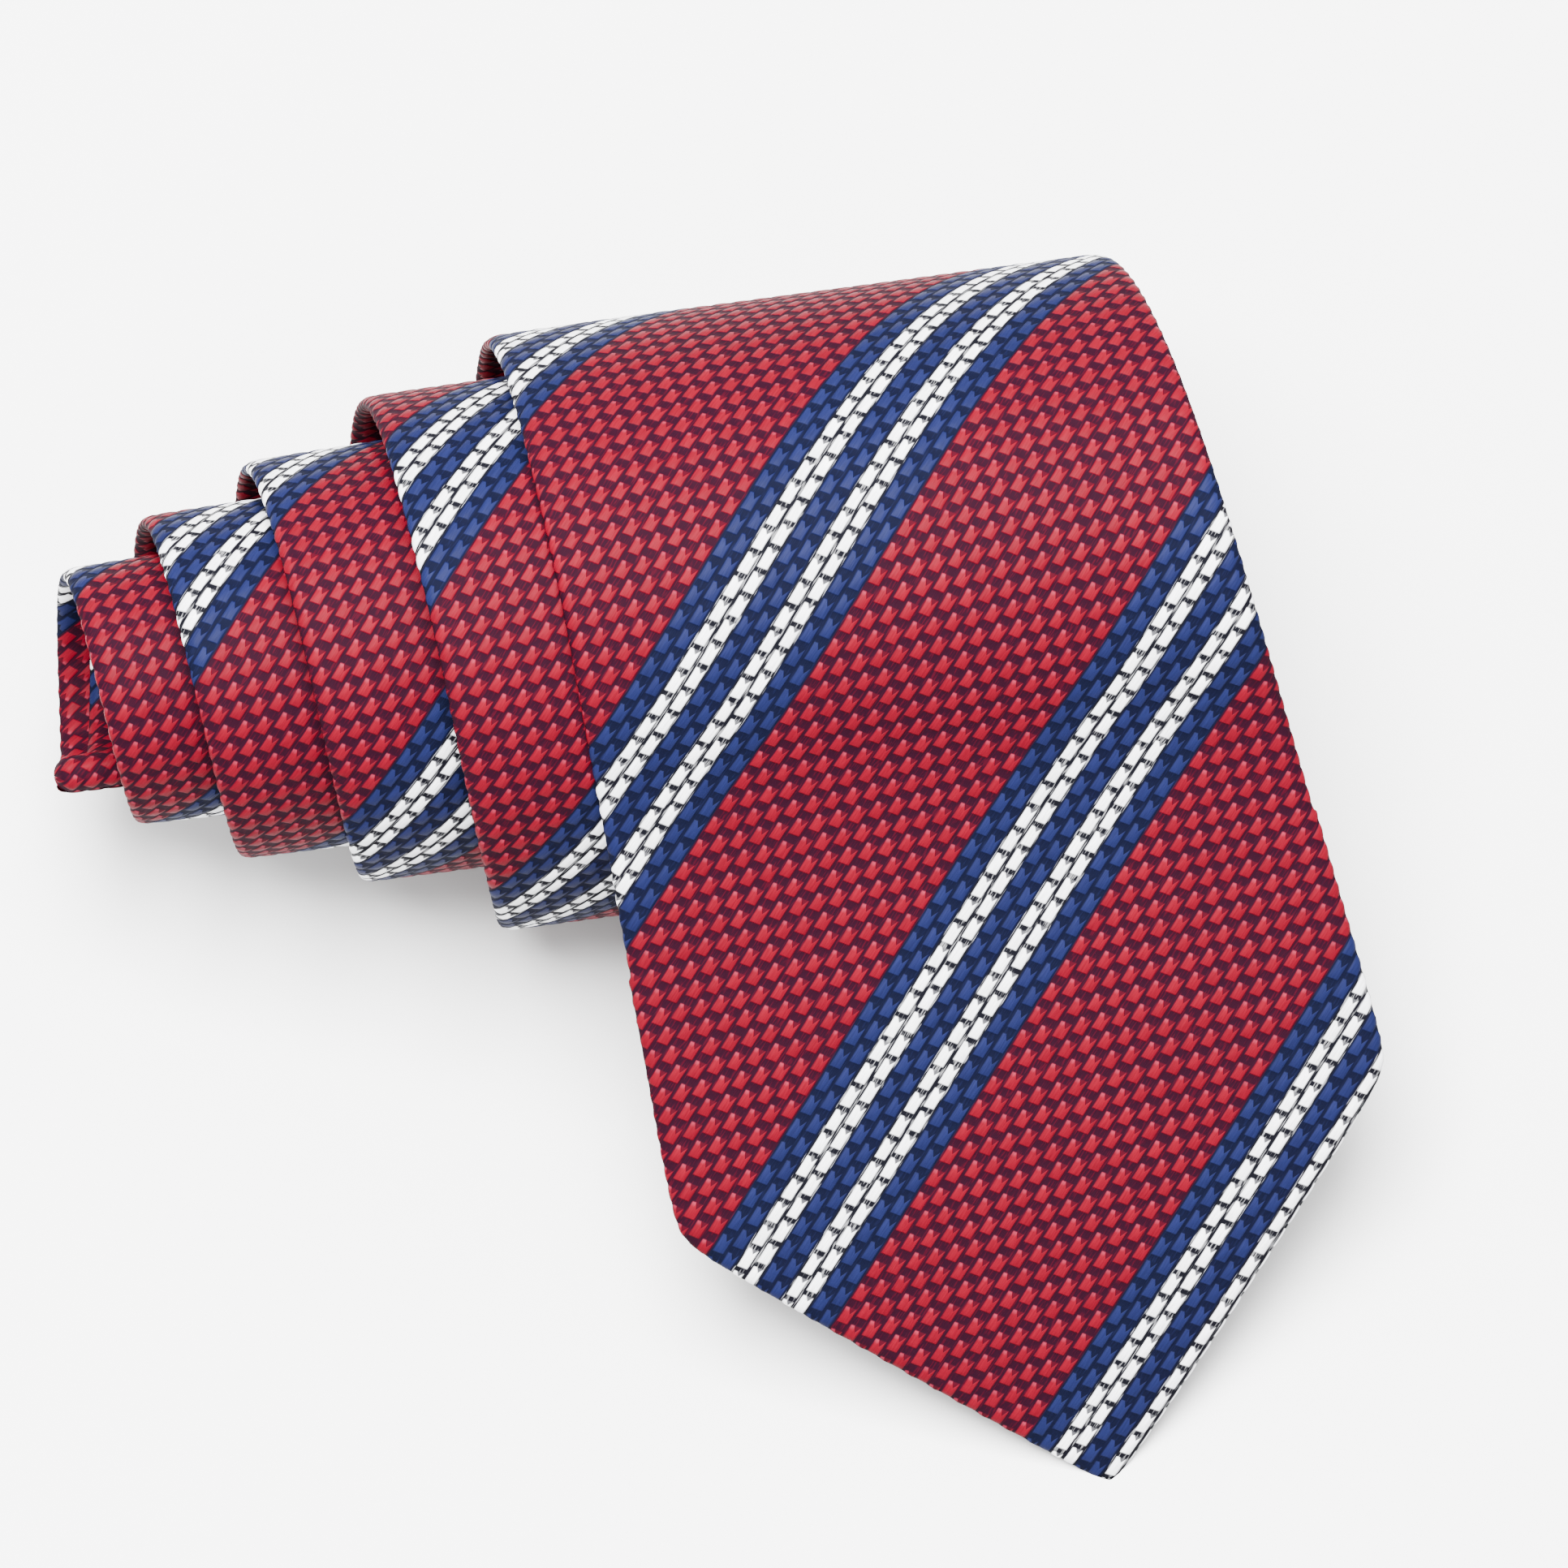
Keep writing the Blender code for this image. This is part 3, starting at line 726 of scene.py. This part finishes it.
BLADE_NODES = {
    "point": ["blade_shell_tip", "blade_interlining_tip"],
    "ramp": ["blade_shell_ramp", "blade_interlining_ramp"],
    "crown": ["blade_shell_turn_1"],
    "base_1": ["blade_shell_turn_1", "blade_interlining_turn_1"],
    "top_2": ["blade_shell_turn_2"],
    "base_2": ["blade_shell_turn_2", "blade_interlining_turn_2"],
    "top_3": ["blade_shell_turn_3"],
    "base_3": ["blade_shell_turn_3", "blade_interlining_turn_3"],
    "top_4": ["neck_shell_turn_4"],
    "base_4": ["neck_shell_turn_4", "neck_interlining_turn_4"],
    "core": ["neck_shell_core", "neck_interlining_core"],
}


for name, start, stop, step, fronts, flaps, motion in BLADE_PIECES:
    rows = spaced(start, stop, step * MM)
    half = blade_half(rows)
    gap = flap_gap(rows, half, 0, VEE_TOP_S)
    piece = lay(f"blade_silk_{name}", rows, half, gap, place_blade, rows, fronts, flaps, True, SILK)
    move(piece, motion)
    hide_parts(*BLADE_NODES[name])


# Tail half: from the fold back to its own point
def tail_s(length):
    """S at a length along the tail, running on past the fold where that is negative."""
    return np.where(length < 0, FOLD_S - length, np.interp(length, WALKED, WALKED_S))


def walked_at(s):
    return float(np.interp(-s, -WALKED_S, WALKED))


def tail_length(turn):
    return walked_at(s_at_turn(turn))


TAIL_STOP = walked_at(TAIL_END_S + POINT_START)
TAIL_STEP = 0.9 * MM
TAIL_COLUMNS = (60, 26)
TAIL_PIECES = [
    ("core", 0.0, tail_length(4), ("core",), ["return_shell_core", "return_interlining_core"]),
    ("base_4", tail_length(4), tail_length(3.5), base_motion(4), ["return_shell_turn_4"]),
    ("top_4", tail_length(3.5), tail_length(3), ("turn_4",), ["return_interlining_turn_4"]),
    ("base_3", tail_length(3), tail_length(2.5), base_motion(3), ["tail_shell_turn_3"]),
    ("top_3", tail_length(2.5), tail_length(2), ("turn_3",), ["tail_interlining_turn_3"]),
    ("base_2", tail_length(2), tail_length(1.5), base_motion(2), ["tail_shell_turn_2"]),
    ("top_2", tail_length(1.5), tail_length(1), ("turn_2",), ["tail_interlining_turn_2"]),
    (
        "base_1",
        tail_length(1),
        TAIL_STOP,
        base_motion(1),
        ["tail_shell_turn_1", "tail_interlining_turn_1"],
    ),
]
for name, start, stop, motion, nodes in TAIL_PIECES:
    lengths = spaced(start, stop, TAIL_STEP)
    rows = tail_s(lengths)
    half = tail_half(rows)
    gap = flap_gap(rows, half, TAIL_CORNER_S, TAIL_CORNER_S + TAIL_VEE)
    flat_s = FOLD_LENGTH + HAIRPIN + lengths
    piece = lay(f"tail_silk_{name}", rows, half, gap, place_tail, flat_s, *TAIL_COLUMNS, False, SILK)
    move(piece, motion)
    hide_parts(*nodes)


# ---------------------------------------------------------------- hairpin at the neck

HAIRPIN_LAP = 0.2 * MM  # how far it starts before the fold, and how far round it runs on
HAIRPIN_RUN_ON = 0.15
HAIRPIN_COLUMNS = 110
HAIRPIN_ROWS = 40
LEAST_ROUND = 0.0004


def hairpin():
    """Both plies going round the fold, as one pillow that is closed at its ends."""
    half = float(blade_half(np.array([FOLD_LENGTH]))[0])
    edge_s = FOLD_S - HAIRPIN_LAP
    y0, z0 = section(edge_s, 0)
    y1, z1 = section(edge_s, TAIL_OUTER + PLY)
    middle = np.array((y0 + y1, z0 + z1)) / 2
    inward = np.array((y1 - y0, z1 - z0))
    radius = np.linalg.norm(inward) / 2
    inward = inward / (2 * radius)
    ahead = np.array(section(FOLD_S, 0)) - np.array(section(FOLD_S - MM, 0))
    onward = np.array((inward[1], -inward[0]))
    onward = onward * math.copysign(1, float(onward @ ahead))
    u = np.linspace(-1, 1, HAIRPIN_COLUMNS)
    t = half * np.sign(u) * (1 - (1 - np.abs(u)) ** 1.6)
    into_edge = np.clip(np.abs(t) - half + EDGE, 0, EDGE) / EDGE
    share = np.sqrt(np.clip(1 - into_edge**2, LEAST_ROUND, 1))
    angles = np.linspace(-HAIRPIN_RUN_ON, math.pi + HAIRPIN_RUN_ON, HAIRPIN_ROWS)
    x = MIDDLE_X - FOLD_S * math.tan(HELIX) + t
    reach = radius * share
    y = middle[0] + reach[None] * (onward[0] * np.sin(angles) - inward[0] * np.cos(angles))[:, None]
    z = middle[1] + reach[None] * (onward[1] * np.sin(angles) - inward[1] * np.cos(angles))[:, None]
    points = np.stack((np.broadcast_to(x, y.shape), y, z), -1)
    flat = np.stack(np.broadcast_arrays(FOLD_LENGTH + radius * angles[:, None], t[None]), -1)
    height = relief(flat[..., 0], flat[..., 1])
    points = points + grid_normals(points) * height[..., None]
    return grid_object("neck_silk_fold", points, flat, SILK, grid_normals(points))


fold = hairpin()
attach(fold, "core")
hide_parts("neck_fold")


# ---------------------------------------------------------------- back of the tie


LINING_DEPTH = PLY - 0.4 * MM  # just inside the flaps
LINING_TUCK = 1.5 * MM  # how far it runs in under each flap


def lay_lining(name, rows, half, gap, place, motion, node):
    """A strip of lining between the flaps, tucked in under both of them."""
    reach = np.minimum(gap + LINING_TUCK, half - EDGE)
    t = -reach[:, None] + 2 * reach[:, None] * np.linspace(0, 1, 40)[None]
    s = np.broadcast_to(rows[:, None], t.shape)
    points = place(s, t, np.full(t.shape, LINING_DEPTH))
    piece = grid_object(name, points, np.stack((s, t), -1), LINING, grid_normals(points))
    move(piece, motion)
    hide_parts(node)


# Piece, where it starts and stops along the tie in mm, motion, node
LINING_PIECES = (
    ("blade_lining_point", -33, 27, POINT_MOTION, "blade_tipping_tip"),
    ("blade_lining_ramp", 27, 51, RAMP_MOTION, "blade_tipping_ramp"),
    ("blade_lining_top", 51, 70, RAMP_MOTION, "blade_tipping_turn_1"),
)
for name, start, stop, motion, node in LINING_PIECES:
    rows = np.arange(start, stop + 0.1, 1) * MM
    half = blade_half(rows)
    gap = flap_gap(rows, half, 0, VEE_TOP_S)
    lay_lining(name, rows, half, gap, place_blade, motion, node)

rows = np.arange(TAIL_END_S + 8 * MM, TAIL_CORNER_S + TAIL_VEE, MM)
half = tail_half(rows)
gap = flap_gap(rows, half, TAIL_CORNER_S, TAIL_CORNER_S + TAIL_VEE)
motion = base_motion(1)
lay_lining("tail_lining", rows, half, gap, place_tail, motion, "tail_tipping")


STITCH_RADIUS = 0.16 * MM
STITCH_HALF = (0.7 * MM, 0.9 * MM)  # half a stitch, along the tie and across it
STITCH_SPACING = 5 * MM
STITCH_RISE = 0.22 * MM
STITCH_DIP = 0.25 * MM
VEE_SPARE = 8 * MM  # bare seam above the blade's opening
TAIL_SPARE = 60 * MM
TACK_RADIUS = 0.14 * MM
TACK_HALF = 3 * MM
TACK_PITCH = 0.22 * MM
TACK_RISE = 0.25 * MM
TACK_DIP = 0.3 * MM
TACK_COUNT = 9


def strand(path, radius, sides=8):
    """Ring points of a tube along a path, closed to a point at both ends."""
    path = np.asarray(path)
    ahead = unit(np.gradient(path, axis=0))
    side = unit(np.cross(ahead, np.array((0.31, 0.2, 0.93))))
    over = np.cross(side, ahead)
    taper = np.sqrt(np.clip(1 - np.linspace(-1, 1, len(path)) ** 6, 0.01, 1))
    angle = np.linspace(0, 2 * math.pi, sides + 1)[None, :, None]
    ring = side[:, None] * np.cos(angle) + over[:, None] * np.sin(angle)
    return path[:, None] + ring * (radius * taper)[:, None, None]


def sew(name, paths, radius, motion, nodes):
    """Many short strands of thread as one piece."""
    made = []
    for path in paths:
        points = strand(path, radius)
        along = np.linspace(0, 0.004, len(points))[:, None]
        around = np.linspace(0, 0.001, points.shape[1])[None]
        flat = np.stack(np.broadcast_arrays(along, around), -1)
        made.append(grid_object(name, points, flat, THREAD))
    piece = made[0]
    with bpy.context.temp_override(
        active_object=piece, object=piece, selected_objects=made, selected_editable_objects=made
    ):
        if len(made) > 1:
            bpy.ops.object.join()
    piece.name = name
    move(piece, motion)
    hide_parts(*nodes)


def slip_stitches(start, stop, place, of_length):
    """Slanting stitches over the seam where the two back flaps meet."""
    u = np.linspace(-1, 1, 7)
    along, across = STITCH_HALF
    depth = PLY + STITCH_RISE - STITCH_DIP * u**2
    places = np.arange(start + STITCH_SPACING / 2, stop, STITCH_SPACING)
    return [place(of_length(s + along * u), across * u, depth) for s in places]


STITCH_NODES = {
    "base_1": ["blade_stitch_turn_1"],
    "base_2": ["blade_stitch_turn_2"],
    "base_3": ["blade_stitch_turn_3"],
    "base_4": ["neck_stitch_turn_4"],
    "core": ["neck_stitch_core"],
}
for name, start, stop, _, _, _, motion in BLADE_PIECES[2:]:
    begin = max(start, VEE_TOP_S + VEE_SPARE)
    paths = slip_stitches(begin, stop, place_blade, lambda s: s)
    sew(f"blade_slip_stitch_{name}", paths, STITCH_RADIUS, motion, STITCH_NODES.get(name, []))

TAIL_STITCH_NODES = {
    "core": ["return_stitch_core"],
    "base_4": ["return_stitch_turn_4"],
    "base_3": ["tail_stitch_turn_3"],
    "base_2": ["tail_stitch_turn_2"],
    "base_1": ["tail_stitch_turn_1"],
}
for name, start, stop, motion, _ in TAIL_PIECES:
    end = min(stop, TAIL_STOP - TAIL_SPARE)
    paths = slip_stitches(start, end, place_tail, tail_s)
    sew(f"tail_slip_stitch_{name}", paths, STITCH_RADIUS, motion, TAIL_STITCH_NODES.get(name, []))


def bar_tack(name, s, place, motion, node):
    """A bar of close stitches across the top of the opening."""
    u = np.linspace(-1, 1, 9)
    depth = PLY + TACK_RISE - TACK_DIP * u**4
    paths = []
    for k in range(TACK_COUNT):
        rows = np.full(len(u), s + (k - TACK_COUNT // 2) * TACK_PITCH)
        paths.append(place(rows, TACK_HALF * u, depth))
    sew(name, paths, TACK_RADIUS, motion, [node])


bar_tack("blade_tack", VEE_TOP_S + 2 * MM, place_blade, RAMP_MOTION, "blade_bar_tack")
bar_tack("tail_tack", TAIL_CORNER_S + TAIL_VEE + MM, place_tail, base_motion(1), "tail_bar_tack")


PATCH_RISE = 0.42 * MM
PATCH_TURN_IN = 0.2 * MM


def patch(name, s, width, length, material, node, motion):
    """A small woven patch with a turned edge, sewn to the back of the blade."""
    across = np.linspace(-1, 1, 61)
    down = np.linspace(-1, 1, 31)
    u, v = np.meshgrid(across, down)
    rim = np.maximum(np.abs(u) ** 24, np.abs(v) ** 16)
    depth = PLY + PATCH_RISE - PATCH_TURN_IN * rim
    rows = s + v * length / 2
    points = place_blade(rows, u * width / 2, depth)
    flat = np.stack((rows, u * width / 2), -1)
    piece = grid_object(name, points, flat, material, grid_normals(points))
    move(piece, motion)
    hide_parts(node)


patch("maker_patch", 137 * MM, 40 * MM, 20 * MM, LABEL, "maker_label", base_motion(1))
patch("care_patch", 109 * MM, 14 * MM, 20 * MM, CARE, "care_label", ("roll",))
patch("keeper", 193 * MM, 42 * MM, 12 * MM, SILK, "keeper_loop", base_motion(1))


# ---------------------------------------------------------------- studio

bpy.ops.mesh.primitive_plane_add(size=6, location=(0, 0, 0))
floor = bpy.context.object
floor.name = "studio_floor"
floor.data.materials.append(floor_material())


# One softbox overhead, turned to the roll
SOFTBOX_PLACE = (-0.12, 0.05, 1.2)
SOFTBOX_AIM = (0, 0, 0.03)
SOFTBOX_SIZE = (0.75, 0.65)
SOFTBOX_POWER = 135

softbox_data = bpy.data.lights.new("softbox_over", "AREA")
softbox_data.shape = "RECTANGLE"
softbox_data.size, softbox_data.size_y = SOFTBOX_SIZE
softbox_data.energy = SOFTBOX_POWER
softbox = bpy.data.objects.new("softbox_over", softbox_data)
bpy.context.scene.collection.objects.link(softbox)
softbox.location = SOFTBOX_PLACE
back = np.array(SOFTBOX_PLACE) - np.array(SOFTBOX_AIM)
tilt = math.atan2(math.hypot(back[0], back[1]), back[2])
softbox.rotation_euler = (tilt, 0, math.atan2(back[0], -back[1]))

# A white sky, brightest overhead
SKY_START = 0.2
SKY_LOW = 0.55
SKY_HIGH = 5.0

world = bpy.data.worlds.new("studio")
bpy.context.scene.world = world
world.use_nodes = True
background = world.node_tree.nodes["Background"]
background.inputs["Color"].default_value = (1, 1, 1, 1)
direction = world.node_tree.nodes.new("ShaderNodeTexCoord")
height = world.node_tree.nodes.new("ShaderNodeSeparateXYZ")
sky = world.node_tree.nodes.new("ShaderNodeMapRange")
for socket, value in zip(sky.inputs, (0, SKY_START, 1.0, SKY_LOW, SKY_HIGH)):
    socket.default_value = value
world.node_tree.links.new(direction.outputs["Generated"], height.inputs[0])
world.node_tree.links.new(height.outputs[2], sky.inputs[0])
world.node_tree.links.new(sky.outputs[0], background.inputs["Strength"])

# Camera: nearly overhead, turned a little to the roll's axis, far away with a long lens
TURNED = math.radians(8.45)
ELEVATION = math.radians(69)
DISTANCE = 2.24
VIEW_WIDTH = 174.7 * MM
AIM = np.array((-3.4 * MM, -9.3 * MM, 0.0))
SENSOR_WIDTH = 36

camera_data = bpy.data.cameras.new("camera")
camera_data.sensor_width = SENSOR_WIDTH
camera_data.lens = SENSOR_WIDTH * DISTANCE / VIEW_WIDTH
camera_data.clip_start = 0.05
camera_data.clip_end = 20
camera = bpy.data.objects.new("camera", camera_data)
bpy.context.scene.collection.objects.link(camera)
level = math.cos(ELEVATION)
ahead = (level * math.sin(TURNED), level * math.cos(TURNED), -math.sin(ELEVATION))
camera.location = AIM - DISTANCE * np.array(ahead)
camera.rotation_euler = (math.pi / 2 - ELEVATION, 0, -TURNED)
bpy.context.scene.camera = camera
